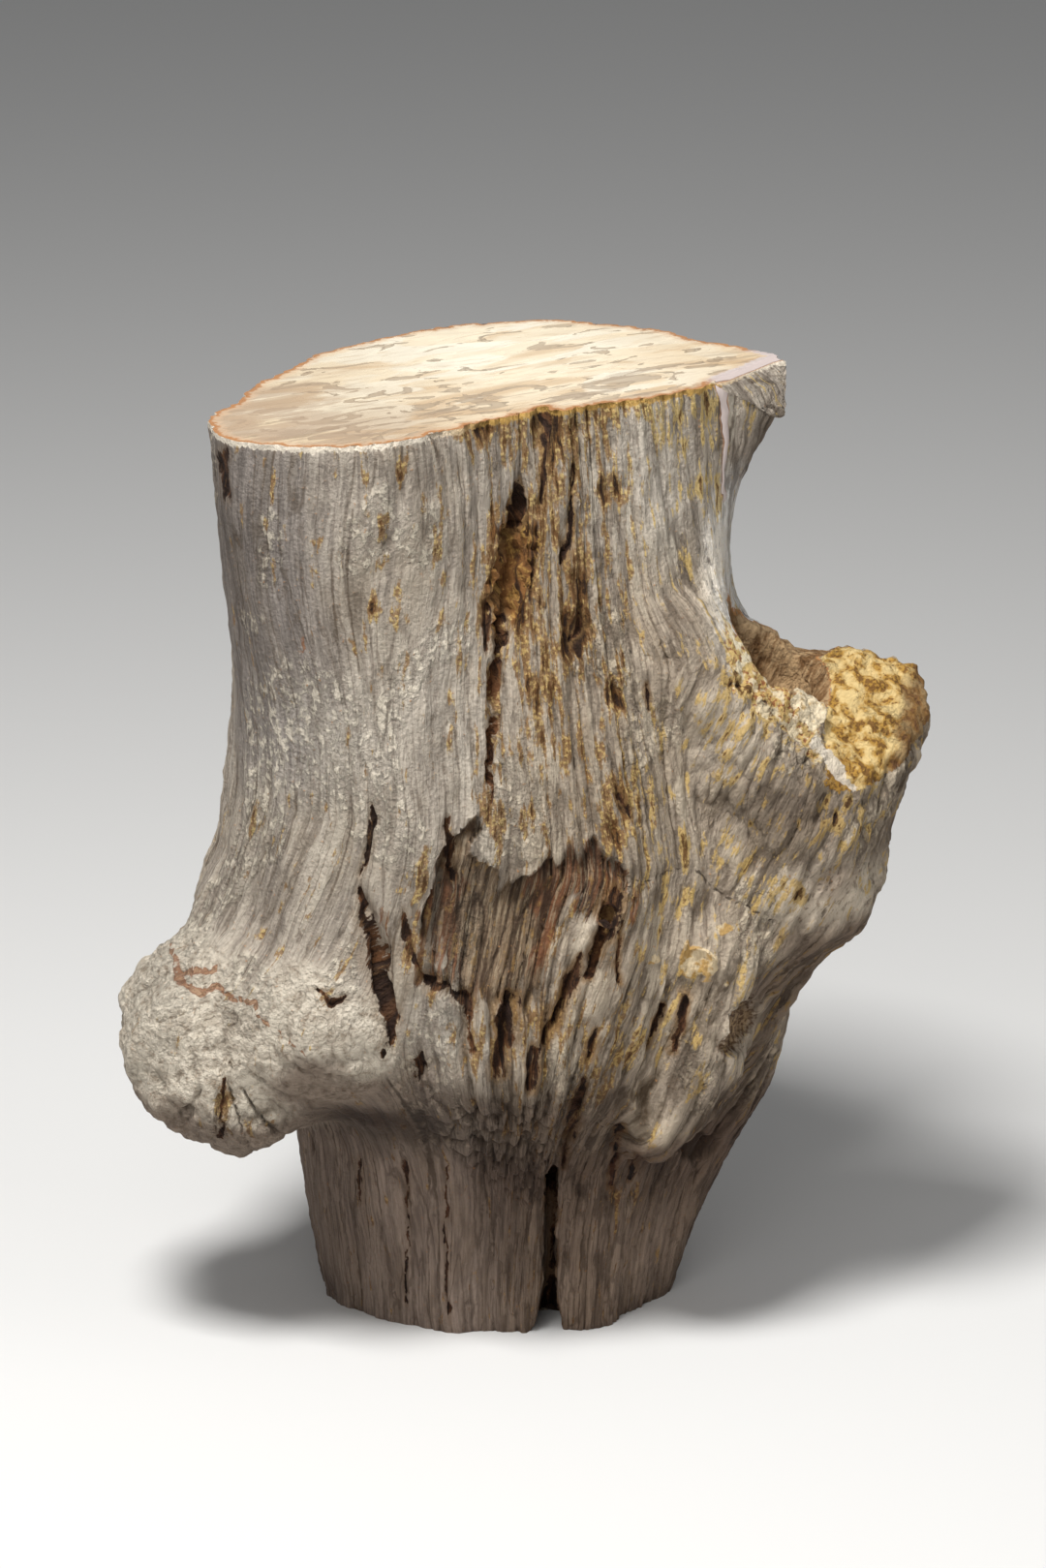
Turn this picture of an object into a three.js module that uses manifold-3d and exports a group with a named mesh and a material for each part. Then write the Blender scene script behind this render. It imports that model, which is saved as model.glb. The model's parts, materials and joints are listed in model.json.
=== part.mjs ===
// A petrified wood stump, cut and polished flat on top and sawn flat underneath.
// It is one piece of stone. Its main forms are summed in one field (a drifting trunk
// outline, a root burl on the left, a broken branch stub on the right, and the hollows,
// ledges and fissures between them), which a surface net turns into a closed mesh.
// Units are millimetres, +Z is up, and the front of the stump faces -Y.
import * as THREE from "three";
import { ImprovedNoise } from "three/addons/math/ImprovedNoise.js";
import { mergeVertices } from "three/addons/utils/BufferGeometryUtils.js";
import Module from "manifold-3d";

// ---------------------------------------------------------------- driving dimensions
const TOP_HEIGHT = 486; // height of the polished top above the floor, at x = 0
const TOP_SLOPE = 0.06; // the top rises this much for each millimetre towards +X
const NET_CELL = new THREE.Vector3(10.4, 10.4, 15.5); // taller than wide, along the grain
const NET_LOW = new THREE.Vector3(-226, -154, -50);
const NET_HIGH = new THREE.Vector3(232, 172, 530);

// The trunk's outline at ten heights: its centre, and its radius every 30 degrees
// from +X (right), through +Y (back) and -X (left), to -Y (front).
const OUTLINES = [
  { z: -20, x: -12, y: 16, radii: [86, 90, 88, 84, 92, 94, 89, 88, 82, 74, 83, 84] },
  { z: 60, x: -8, y: 16, radii: [110, 104, 102, 100, 106, 108, 108, 102, 90, 82, 89, 95] },
  { z: 110, x: -5, y: 14, radii: [136, 118, 110, 108, 112, 116, 122, 107, 97, 98, 102, 108] },
  { z: 148, x: -5, y: 10, radii: [146, 127, 118, 116, 120, 126, 134, 134, 125, 118, 117, 122] },
  { z: 190, x: -5, y: 8, radii: [143, 130, 124, 120, 128, 142, 159, 154, 134, 120, 120, 126] },
  { z: 250, x: -5, y: 8, radii: [132, 128, 124, 124, 128, 136, 149, 150, 132, 116, 120, 128] },
  { z: 320, x: -8, y: 10, radii: [120, 122, 122, 126, 126, 126, 136, 144, 130, 106, 108, 118] },
  { z: 410, x: -12, y: 12, radii: [122, 118, 120, 127, 125, 122, 131, 153, 134, 88, 90, 108] },
  { z: 487, x: -10, y: 12, radii: [138, 122, 124, 131, 127, 121, 133, 160, 138, 76, 76, 98] },
  { z: 530, x: -10, y: 12, radii: [143, 124, 122, 128, 124, 120, 132, 160, 139, 75, 74, 97] },
];

// Lumps that swell out of the trunk: the root burl and its flare at the left, the shelf
// under the branch at the right, and a healed knot on the back.
const BURL = [
  { centre: [-153, -42, 161], size: [53, 54, 49] },
  { centre: [-136, -46, 138], size: [48, 52, 43] },
  { centre: [-98, -78, 179], size: [42, 40, 37] },
  { centre: [-130, -14, 203], size: [37, 50, 50] },
];
const BURL_UNDERSIDE = { centre: [-112, -44, 92], size: [30, 60, 33] }; // hollowed out of it
const SHELF = { centre: [142, -20, 230], size: [37, 44, 31] };
const BACK_KNOT = { centre: [-58, 122, 212], size: [26, 24, 34] };

// The branch stub, as [x, y, z, radius] from the trunk to the break, and the two planes
// that meet in the ridge where it snapped.
const BRANCH = [
  [76, -20, 184, 58],
  [132, -18, 266, 53],
  [157, -11, 330, 51],
  [164, -7, 380, 54],
];
const BREAK_FRONT = { point: [172, 10, 347], normal: [0.27, -0.62, 1] };
const BREAK_BACK = { point: [172, 12, 347], normal: [0.3, 0.5, 1] };
const RIM_LUMP = { centre: [138, -47, 331], size: [12, 10, 12] }; // on the hollow's front rim
const BUTTRESS = [
  [74, -40, 362, 30],
  [142, -42, 272, 33],
];

// The raised flap of wood on the front right, which ends in a tip over the foot.
const FLAP = [
  [94, -63, 208, 27],
  [90, -67, 160, 26],
  [70, -72, 121, 22],
];

// The scoop that narrows the trunk above the branch.
const WAIST = { centre: [164.5, 0, 404], size: [61, 190, 78] };

// Hollows taken out of the trunk, with the rounding of each one's edge.
const HOLLOWS = [
  { name: "crotch", centre: [128, -19, 354], size: [26, 30, 54], edge: 4 },
  { name: "notch in the rim", centre: [146, 32, 358], size: [20, 32, 20], edge: 3 },
  { name: "torn face", centre: [-3, -124, 248], size: [54, 24, 42], edge: 2 },
  { name: "beside the flap", centre: [132, -92, 168], size: [28, 42, 40], edge: 3 },
  { name: "beside the toe", centre: [92, -78, 30], size: [40, 46, 86], edge: 6 },
  { name: "back", centre: [36, 152, 330], size: [34, 42, 84], edge: 8 },
];

// Fissures along the grain. Each is a V-shaped cut through [x, y, z, half width, depth],
// that goes into the stone towards +Y on the front, or towards -Y on the back.
const FRONT_FISSURES = [
  [[12, -44, 500, 2, 6], [8, -60, 473, 3, 8], [6, -64, 452, 1.2, 3]],
  [[1, -64, 462, 1.5, 3], [-4, -69, 432, 4, 7], [-6, -73, 404, 6, 8], [-13, -84, 372, 2, 6],
    [-16, -94, 322, 1.6, 5], [-17, -101, 288, 1, 3]],
  [[23, -57, 466, 1.2, 3], [22, -60, 441, 2, 5], [19, -66, 412, 1.2, 3]],
  [[-84, -103, 264, 1.5, 3], [-73, -108, 240, 4, 9], [-69, -110, 214, 3.5, 8],
    [-64, -108, 172, 1.5, 4]],
  [[44, -98, 250, 1.5, 3], [31, -103, 214, 2.2, 6], [15, -106, 180, 1.2, 4]],
  [[30, -100, 156, 1.2, 4], [22, -88, 120, 2, 6], [15, -72, 84, 1.5, 5]],
];
const BACK_FISSURES = [
  [[-20, 140, 480, 3, 5], [-26, 138, 420, 6, 12], [-22, 136, 350, 2, 4]],
  [[44, 118, 200, 2, 4], [36, 122, 140, 6, 12], [30, 112, 70, 3, 5]],
];

// The cleft that splits the front of the foot: its outline seen from the front, as
// [x, z], and how far back it reaches.
const CLEFT = [[4, -10], [21, -10], [16, 16], [15, 60], [17, 98], [14, 98], [11, 60], [9.5, 16]];
const CLEFT_BACK = -34;

// ---------------------------------------------------------------- field helpers
const perlin = new ImprovedNoise();
const clamp01 = (v) => Math.min(1, Math.max(0, v));
const ramp = (v, from, to) => THREE.MathUtils.smoothstep(v, from, to);

// Joins two fields with a fillet of about the given radius.
function join(a, b, fillet) {
  const h = clamp01(0.5 + (0.5 * (b - a)) / fillet);
  return b + (a - b) * h - fillet * h * (1 - h);
}

// Takes field b out of field a, with an edge rounded by about the given radius.
const carve = (a, b, fillet) => -join(-a, b, fillet);

function ellipsoid(p, centre, size) {
  const x = (p.x - centre[0]) / size[0];
  const y = (p.y - centre[1]) / size[1];
  const z = (p.z - centre[2]) / size[2];
  return (Math.hypot(x, y, z) - 1) * Math.min(...size);
}

// A rod through the given points, each [x, y, z, radius], that tapers between them.
function rod(p, points) {
  let nearest = Infinity;
  for (let i = 1; i < points.length; i++) {
    const [a, b] = [points[i - 1], points[i]];
    const along = [b[0] - a[0], b[1] - a[1], b[2] - a[2]];
    const from = [p.x - a[0], p.y - a[1], p.z - a[2]];
    const dot = from[0] * along[0] + from[1] * along[1] + from[2] * along[2];
    const t = clamp01(dot / (along[0] ** 2 + along[1] ** 2 + along[2] ** 2));
    const away = Math.hypot(
      from[0] - along[0] * t,
      from[1] - along[1] * t,
      from[2] - along[2] * t,
    );
    nearest = Math.min(nearest, away - (a[3] + (b[3] - a[3]) * t));
  }
  return nearest;
}

// Signed distance above a plane through a point, facing along its normal.
function above(p, point, normal) {
  const length = Math.hypot(...normal);
  const dot =
    (p.x - point[0]) * normal[0] + (p.y - point[1]) * normal[1] + (p.z - point[2]) * normal[2];
  return dot / length;
}

// ---------------------------------------------------------------- the forms
const outlineAt = new THREE.CubicInterpolant(
  OUTLINES.map((o) => o.z),
  OUTLINES.flatMap((o) => [o.x, o.y, ...o.radii]),
  14,
);

function trunk(p) {
  const [cx, cy, ...radii] = outlineAt.evaluate(p.z);
  const angle = Math.atan2(p.y - cy, p.x - cx);
  const turn = (((angle / (2 * Math.PI)) % 1) + 1) % 1 * 12;
  const i = Math.floor(turn);
  const t = turn - i;
  const [r0, r1, r2, r3] = [11, 0, 1, 2].map((k) => radii[(i + k) % 12]);
  const radius =
    r1 +
    0.5 * t * (r2 - r0 + t * (2 * r0 - 5 * r1 + 4 * r2 - r3 + t * (3 * (r1 - r2) + r3 - r0)));
  // Ribs that follow the grain, and slow swells between them.
  const [c, s] = [Math.cos(angle), Math.sin(angle)];
  const ribs = perlin.noise(4.6 * c, 4.6 * s, p.z / 170);
  const swell = perlin.noise(2.2 * c + 9, 2.2 * s, p.z / 110);
  return (Math.hypot(p.x - cx, p.y - cy) - radius - 6 * ribs - 4 * swell) * 0.92;
}

function burl(p) {
  const lumps = BURL.map((lump) => ellipsoid(p, lump.centre, lump.size));
  const knobs = perlin.noise(p.x / 30, p.y / 30, p.z / 30);
  const whole = lumps.reduce((a, b) => join(a, b, 20)) - 5 * knobs;
  return carve(whole, ellipsoid(p, BURL_UNDERSIDE.centre, BURL_UNDERSIDE.size), 4);
}

function branch(p) {
  const stem = join(rod(p, BRANCH), ellipsoid(p, SHELF.centre, SHELF.size), 14);
  const front = above(p, BREAK_FRONT.point, BREAK_FRONT.normal);
  const back = above(p, BREAK_BACK.point, BREAK_BACK.normal);
  const ragged = perlin.noise(p.x / 24, p.y / 24, p.z / 34);
  return join(Math.max(stem, front, back), rod(p, BUTTRESS), 12) - 3 * ragged;
}

function stump(x, y, z) {
  const p = { x, y, z };
  let d = join(trunk(p), burl(p), 16);
  d = join(d, ellipsoid(p, BACK_KNOT.centre, BACK_KNOT.size), 14);
  d = carve(d, ellipsoid(p, WAIST.centre, WAIST.size), 5);
  d = join(d, branch(p), 14);
  d = join(d, rod(p, FLAP), 8);
  for (const hollow of HOLLOWS)
    d = carve(d, ellipsoid(p, hollow.centre, hollow.size), hollow.edge);
  d = join(d, ellipsoid(p, RIM_LUMP.centre, RIM_LUMP.size), 5);
  // The ends lie beyond the two cuts, and only close the net.
  return Math.max(d, z - 522, -22 - z);
}

// ---------------------------------------------------------------- surface net
// Makes a closed mesh of the level 0 of a field: one vertex in each cell that the
// surface crosses, and one quad around each grid edge that it crosses.
function surfaceNet(field, low, high, cell) {
  const size = high.clone().sub(low).divide(cell).ceil();
  const [nx, ny, nz] = [size.x + 1, size.y + 1, size.z + 1];
  const at = (i, j, k) => i + nx * (j + ny * k);
  const values = new Float64Array(nx * ny * nz);
  for (let k = 0; k < nz; k++)
    for (let j = 0; j < ny; j++)
      for (let i = 0; i < nx; i++)
        values[at(i, j, k)] = field(low.x + i * cell.x, low.y + j * cell.y, low.z + k * cell.z);

  const corners = [0, 1, 2, 3, 4, 5, 6, 7].map((c) => [c & 1, (c >> 1) & 1, c >> 2]);
  const points = [];
  const vertexOf = new Int32Array(nx * ny * nz).fill(-1);
  for (let k = 0; k < nz - 1; k++)
    for (let j = 0; j < ny - 1; j++)
      for (let i = 0; i < nx - 1; i++) {
        const sum = [0, 0, 0, 0];
        for (let a = 0; a < 8; a++)
          for (let bit = 1; bit < 8; bit <<= 1) {
            const b = a | bit;
            if (b === a) continue;
            const va = values[at(i + corners[a][0], j + corners[a][1], k + corners[a][2])];
            const vb = values[at(i + corners[b][0], j + corners[b][1], k + corners[b][2])];
            if (va < 0 === vb < 0) continue;
            const t = va / (va - vb);
            for (let axis = 0; axis < 3; axis++)
              sum[axis] += corners[a][axis] + t * (corners[b][axis] - corners[a][axis]);
            sum[3]++;
          }
        if (!sum[3]) continue;
        vertexOf[at(i, j, k)] = points.length / 3;
        points.push(
          low.x + (i + sum[0] / sum[3]) * cell.x,
          low.y + (j + sum[1] / sum[3]) * cell.y,
          low.z + (k + sum[2] / sum[3]) * cell.z,
        );
      }

  const faces = [];
  const steps = [1, nx, nx * ny];
  for (let k = 1; k < nz - 1; k++)
    for (let j = 1; j < ny - 1; j++)
      for (let i = 1; i < nx - 1; i++)
        for (let axis = 0; axis < 3; axis++) {
          const here = at(i, j, k);
          const inside = values[here] < 0;
          if (inside === values[here + steps[axis]] < 0) continue;
          const [u, v] = [steps[(axis + 1) % 3], steps[(axis + 2) % 3]];
          const quad = [here - u - v, here - v, here, here - u].map((c) => vertexOf[c]);
          if (!inside) quad.reverse();
          faces.push(quad[0], quad[1], quad[2], quad[0], quad[2], quad[3]);
        }
  return { points, faces };
}

// Slides each vertex along the field's slope until it lies on the surface.
function settle(points, field, steps, reach) {
  for (let n = 0; n < steps; n++)
    for (let i = 0; i < points.length; i += 3) {
      const [x, y, z] = points.slice(i, i + 3);
      const here = field(x, y, z);
      const slope = new THREE.Vector3(
        field(x + 1, y, z) - field(x - 1, y, z),
        field(x, y + 1, z) - field(x, y - 1, z),
        field(x, y, z + 1) - field(x, y, z - 1),
      ).multiplyScalar(0.5);
      const move = slope.multiplyScalar(-here / Math.max(slope.lengthSq(), 0.2));
      move.clampLength(0, reach);
      points[i] += move.x;
      points[i + 1] += move.y;
      points[i + 2] += move.z;
    }
}

// ---------------------------------------------------------------- cutting
const wasm = await Module();
wasm.setup();

function solidFrom(points, faces) {
  return new wasm.Manifold(
    new wasm.Mesh({
      numProp: 3,
      vertProperties: new Float32Array(points),
      triVerts: new Uint32Array(faces),
    }),
  );
}

function solidOf(geometry) {
  const plain = geometry.clone().deleteAttribute("normal").deleteAttribute("uv");
  const merged = mergeVertices(plain, 1e-4);
  return solidFrom(merged.attributes.position.array, merged.index.array);
}

function geometryOf(solid) {
  const mesh = solid.getMesh();
  const geometry = new THREE.BufferGeometry();
  geometry.setAttribute("position", new THREE.BufferAttribute(mesh.vertProperties, 3));
  geometry.setIndex(new THREE.BufferAttribute(mesh.triVerts, 1));
  geometry.computeVertexNormals();
  return geometry;
}

// The slab between the sawn base and the sloping polished top.
function slab() {
  const box = new THREE.BoxGeometry(900, 900, TOP_HEIGHT);
  box.translate(0, 0, TOP_HEIGHT / 2);
  const corners = box.attributes.position;
  for (let i = 0; i < corners.count; i++)
    if (corners.getZ(i) > TOP_HEIGHT / 2)
      corners.setZ(i, TOP_HEIGHT + TOP_SLOPE * corners.getX(i));
  return solidOf(box);
}

// A V-shaped blade lofted along a fissure. inward is +1 on the front and -1 on the back.
function fissure(path, inward) {
  const points = [];
  const faces = [];
  for (const [x, y, z, half, depth] of path) {
    const ring = [[x - half, y], [x, y - 40 * inward], [x + half, y], [x, y + depth * inward]];
    for (const [px, py] of ring) points.push(px, py, z);
  }
  for (let i = 0; i < path.length - 1; i++)
    for (let k = 0; k < 4; k++) {
      const [a, b] = [4 * i + k, 4 * i + ((k + 1) % 4)];
      faces.push(a, a + 4, b, b, a + 4, b + 4);
    }
  const end = points.length / 3 - 4;
  faces.push(0, 1, 2, 0, 2, 3, end, end + 2, end + 1, end, end + 3, end + 2);
  if (inward < 0) faces.reverse();
  return solidFrom(points, faces);
}

function footCleft() {
  const outline = new THREE.Shape(CLEFT.map(([x, z]) => new THREE.Vector2(x, z)));
  const blade = new THREE.ExtrudeGeometry(outline, { depth: 120, bevelEnabled: false });
  blade.rotateX(Math.PI / 2);
  blade.translate(0, CLEFT_BACK, 0);
  return solidOf(blade);
}

// ---------------------------------------------------------------- the stump
const net = surfaceNet(stump, NET_LOW, NET_HIGH, NET_CELL);
settle(net.points, stump, 3, 4);
const blades = [
  ...FRONT_FISSURES.map((path) => fissure(path, 1)),
  ...BACK_FISSURES.map((path) => fissure(path, -1)),
  footCleft(),
];
let solid = solidFrom(net.points, net.faces).intersect(slab());
for (const blade of blades) solid = solid.subtract(blade);

// The origin is the middle of the stump's extents, on the floor.
const geometry = geometryOf(solid.simplify(0.05));
geometry.computeBoundingBox();
const middle = geometry.boundingBox.getCenter(new THREE.Vector3());
geometry.translate(-middle.x, -middle.y, 0);

const stone = new THREE.Mesh(
  geometry,
  new THREE.MeshStandardMaterial({ color: 0xb9ada0, roughness: 0.85, metalness: 0 }),
);
stone.name = "petrified_stump";

const root = new THREE.Group();
root.add(stone);
export default root;
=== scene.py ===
"""A petrified wood stump: one stone, polished on top, weathered on the side and sawn underneath."""
import json
import math

import bpy
import numpy as np
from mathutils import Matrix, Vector, kdtree, noise


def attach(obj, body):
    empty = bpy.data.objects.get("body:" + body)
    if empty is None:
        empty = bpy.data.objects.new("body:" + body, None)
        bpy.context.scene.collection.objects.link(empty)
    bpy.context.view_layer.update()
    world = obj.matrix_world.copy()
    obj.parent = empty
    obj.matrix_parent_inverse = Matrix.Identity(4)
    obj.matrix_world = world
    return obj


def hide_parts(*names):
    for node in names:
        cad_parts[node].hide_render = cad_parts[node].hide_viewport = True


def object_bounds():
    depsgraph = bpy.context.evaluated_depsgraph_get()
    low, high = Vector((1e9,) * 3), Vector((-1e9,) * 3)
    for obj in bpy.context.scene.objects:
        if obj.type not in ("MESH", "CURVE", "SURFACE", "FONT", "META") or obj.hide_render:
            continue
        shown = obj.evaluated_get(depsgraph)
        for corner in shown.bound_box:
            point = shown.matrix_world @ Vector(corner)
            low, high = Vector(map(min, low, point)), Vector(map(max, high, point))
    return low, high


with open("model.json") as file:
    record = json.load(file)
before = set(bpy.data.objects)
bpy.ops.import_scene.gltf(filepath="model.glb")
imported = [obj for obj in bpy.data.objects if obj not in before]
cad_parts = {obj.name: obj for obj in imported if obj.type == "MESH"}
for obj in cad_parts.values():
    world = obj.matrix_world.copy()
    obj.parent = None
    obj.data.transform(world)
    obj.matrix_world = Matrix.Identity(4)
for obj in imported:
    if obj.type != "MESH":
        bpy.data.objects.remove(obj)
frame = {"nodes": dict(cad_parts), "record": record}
cad_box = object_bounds()

# ------------------------------------------------------------------ the block of stone
# The whole stump is one stone, so it is one mesh. It starts as a copy of the solid, made
# into fine even cells that are twice as tall as wide, because the grain runs upright.
# Both flat ends are drawn out a little first, so that cutting them later leaves them crisp.
CELL = 0.00125
CELL_STRETCH = 2
END_SPARE = 0.005
TOP_IS_ABOVE = 0.46
BASE_IS_BELOW = 0.01

top_face = next(m for m in frame["record"]["mounts"] if m["name"] == "top_face")
top_slope = -top_face["axis"][0] / top_face["axis"][2]
top_height = top_face["pos_m"][2] - top_slope * top_face["pos_m"][0]

stone = bpy.data.objects.new("stone", frame["nodes"]["petrified_stump"].data.copy())
stone.data.materials.clear()
bpy.context.collection.objects.link(stone)
bpy.ops.object.select_all(action="DESELECT")
stone.select_set(True)
bpy.context.view_layer.objects.active = stone
bpy.ops.object.mode_set(mode="EDIT")
bpy.ops.mesh.select_mode(type="FACE")
bpy.ops.mesh.select_all(action="SELECT")
bpy.ops.mesh.remove_doubles(threshold=0.00001)


def draw_out_end(facing, height):
    """Extrudes the flat end that faces up (1) or down (-1) beyond the given height."""
    bpy.ops.mesh.select_all(action="DESELECT")
    bpy.ops.object.mode_set(mode="OBJECT")
    for face in stone.data.polygons:
        face.select = face.normal.z * facing > 0.99 and (face.center.z - height) * facing > 0
    bpy.ops.object.mode_set(mode="EDIT")
    bpy.ops.mesh.extrude_region_move(TRANSFORM_OT_translate={"value": (0, 0, END_SPARE * facing)})


draw_out_end(1, TOP_IS_ABOVE)
draw_out_end(-1, BASE_IS_BELOW)
bpy.ops.object.mode_set(mode="OBJECT")

stone.scale.z = 1 / CELL_STRETCH
bpy.ops.object.transform_apply(location=False, rotation=False, scale=True)
cells = stone.modifiers.new("cells", "REMESH")
cells.mode = "VOXEL"
cells.voxel_size = CELL
bpy.ops.object.modifier_apply(modifier="cells")
worn = stone.modifiers.new("worn", "SMOOTH")
worn.factor = 0.5
worn.iterations = 20
bpy.ops.object.modifier_apply(modifier="worn")
stone.scale.z = CELL_STRETCH
bpy.ops.object.transform_apply(location=False, rotation=False, scale=True)

# ------------------------------------------------------------------ the grain
# The fibres run up the trunk, lean towards the burl low on the left and towards the foot
# low on the right, and follow the branch. Lengths from here to the cut are millimetres.
TRUNK_AXIS = (-8.5, -1)
GIRTH_RADIUS = 120
BRANCH_START = np.array([76, -33, 184])
BRANCH_GRAIN = np.array([0.42, 0.05, 0.9])
RIGHT_LEAN = 0.0024  # radians round the trunk for each millimetre of height
LEFT_LEAN = 0.0022
SWAY = 0.05


def ramp(value, start, end):
    """A smooth step from 0 at start to 1 at end."""
    share = np.clip((value - start) / (end - start), 0, 1)
    return share * share * (3 - 2 * share)


def speckle(places, size, seed):
    """Perlin noise at each place, with features of the given size, from about -0.7 to 0.7."""
    spots = places / size + seed
    return np.array([noise.noise(spot) for spot in spots.tolist()])


def shards(places, size, seed):
    """Splits space into cells of the given size. Returns each place's gap to its cell's edge,
    from 0, its distance from the cell's middle, and a number from 0 to 1 for the cell."""
    gaps, middles, numbers = [], [], []
    for spot in (places / size + seed).tolist():
        (first, second, *_), (middle, *_) = noise.voronoi(spot)
        gaps.append(second - first)
        middles.append(first)
        numbers.append(math.modf(abs(middle[0] * 7.13 + middle[1] * 3.71 + middle[2] * 9.37))[0])
    return np.array(gaps), np.array(middles), np.array(numbers)


def lump(centre, size):
    """1 on the surface of an ellipsoid with these half sizes, less inside it, more outside."""
    return np.linalg.norm((places - centre) / size, axis=1)


count = len(stone.data.vertices)
points = np.empty(count * 3)
stone.data.vertices.foreach_get("co", points)
points = points.reshape(-1, 3) * 1000
normals = np.empty(count * 3)
stone.data.vertex_normals.foreach_get("vector", normals)
normals = normals.reshape(-1, 3)

# The spare ends repeat the pattern at the cuts, so that the walls run straight through them.
top_at = 1000 * (top_height + top_slope * points[:, 0] / 1000)
places = points.copy()
places[:, 2] = np.clip(points[:, 2], 0, top_at)
x, y, z = places.T
facing_front = np.maximum(ramp(-normals[:, 1], -0.1, 0.35), ramp(-y, 45, 60))

# Turns round the trunk count from the right: the front is at -90 degrees, the left at -180.
turn = np.arctan2(y - TRUNK_AXIS[1], x - TRUNK_AXIS[0])
degrees = np.degrees(turn)
right_lean = ramp(degrees, -105, -65) * (1 - ramp(degrees, -20, 70))
left_lean = ramp(degrees, -180, -150) * (1 - ramp(degrees, -145, -80))
sway = speckle(places, np.array([60, 60, 90]), 12.3)
lean = RIGHT_LEAN * (260 - np.clip(z, 90, 260)) * right_lean
lean += LEFT_LEAN * (290 - np.clip(z, 180, 290)) * left_lean + SWAY * sway
trunk_fibre = np.stack(
    [GIRTH_RADIUS * np.cos(turn + lean), GIRTH_RADIUS * np.sin(turn + lean), z], axis=1
)

branch_up = BRANCH_GRAIN / np.linalg.norm(BRANCH_GRAIN)
branch_side = np.cross(branch_up, [0, 1, 0])
branch_side /= np.linalg.norm(branch_side)
branch_fibre = (places - BRANCH_START) @ np.stack(
    [branch_side, np.cross(branch_up, branch_side), branch_up], axis=1
)

BURL = (-150, -57, 151), (58, 58, 58)
BURL_SHOULDER = (-98, -91, 179), (42, 40, 37)
burl = 1 - ramp(np.minimum(lump(*BURL), lump(*BURL_SHOULDER)), 1.03, 1.25)
branch = ramp(x + 0.25 * (z - 250), 84, 112) * ramp(z, 205, 232) * (1 - ramp(z, 350, 372))
branch *= 1 - ramp(y, 10, 40)


def along_grain(across, length, seed):
    """Noise stretched along the fibres of the trunk, or of the branch where that is."""
    on_trunk = speckle(trunk_fibre, np.array([across, across, length]), seed)
    on_branch = speckle(branch_fibre, np.array([across, across, 0.4 * length]), seed + 40)
    return on_trunk + (on_branch - on_trunk) * branch


# ------------------------------------------------------------------ the weathered side
# Weather has split the side into long plates along the grain, with furrows between them.
# The left is smooth and finely lined, the waist above the branch is bare, the foot is
# finely furrowed, and the burl is a crust of rocky lumps.
# Each lump or hollow is given as its middle and its half sizes.
WAIST = (164.5, -13, 404), (61, 190, 78)
HOLLOW = (128, -32, 354), (26, 30, 54)
HOLLOW_BACK = (146, 19, 358), (20, 32, 20)
BREAK_POINT = (172, -3.1, 347)
BREAK_FACING = (0.27, -0.62, 1)


def valleys(value, slope, level):
    """Valleys where a signed value crosses 0, with level land between them."""
    return slope * np.minimum(np.abs(value), 0.3) - level


left_facet = ramp(degrees, -178, -165) * (1 - ramp(degrees, -138, -118)) * ramp(z, 270, 330)
waist = 1 - ramp(np.abs(lump(*WAIST) - 1), 0.1, 0.3)
waist *= ramp(x, 80, 94) * ramp(z, 345, 360) * (1 - ramp(z, 430, 455)) * (1 - ramp(y, 0, 50))
foot = (1 - ramp(z, 92, 122)) * (1 - burl)
hollow = 1 - ramp(lump(*HOLLOW), 1.04, 1.2)
hollow = np.maximum(hollow, 1 - ramp(lump(*HOLLOW_BACK), 1.02, 1.15))
crinkled = ramp(z + 0.7 * x, 70, 84) * (1 - ramp(z, 140, 156)) * ramp(x, -58, -42)
crinkled *= (1 - ramp(x, 8, 26)) * facing_front
break_slope = np.array(BREAK_FACING) / np.linalg.norm(BREAK_FACING)
break_height = (places - BREAK_POINT) @ break_slope + 2.5 * speckle(places, 9, 3.9)
broken = ramp(break_height, -9, -4) * ramp(x, 146, 154) * (1 - hollow)
# How strongly the plates and furrows are carved, from 0 to about 1.
rough = 1 - 0.75 * left_facet - 0.85 * waist - 0.45 * foot - 0.8 * crinkled - 0.7 * broken
rough *= (1 - 0.9 * burl) * (1 - 0.6 * hollow)
rough *= 0.7 + 0.4 * ramp(degrees, -110, -85) * (1 - ramp(degrees, -20, 10))

# The plates, furrows, scales and crumbs, as noise or cells along the grain.
warped = trunk_fibre + 1.6 * speckle(places, np.array([12, 12, 30]), 4.4)[:, None]
plate_gap, _, plate_number = shards(warped, np.array([8.5, 8.5, 70]), 2.7)
branch_plates = shards(branch_fibre, np.array([8, 8, 30]), 5.2)
plate_gap += (branch_plates[0] - plate_gap) * branch
plate_number += (branch_plates[2] - plate_number) * branch
furrow = along_grain(9.5, 170, 3.1)
fine_furrow = along_grain(4.3, 75, 5.7)
swells = along_grain(42, 160, 9.4)
flaps = ramp(x, -45, -25) * ramp(z + 30 * ramp(x, 18, 34), 88, 104) * (1 - ramp(z, 195, 225))
flaps *= facing_front * (1 - burl)
scale_gap, _, scale_number = shards(warped, np.array([8, 8, 11]), 6.4)
flap_gap, _, flap_number = shards(warped, np.array([13, 13, 80]), 8.1)
crumbs = speckle(places, 4.5, 2.2)
lumps = speckle(places, 12, 6.6)

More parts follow.
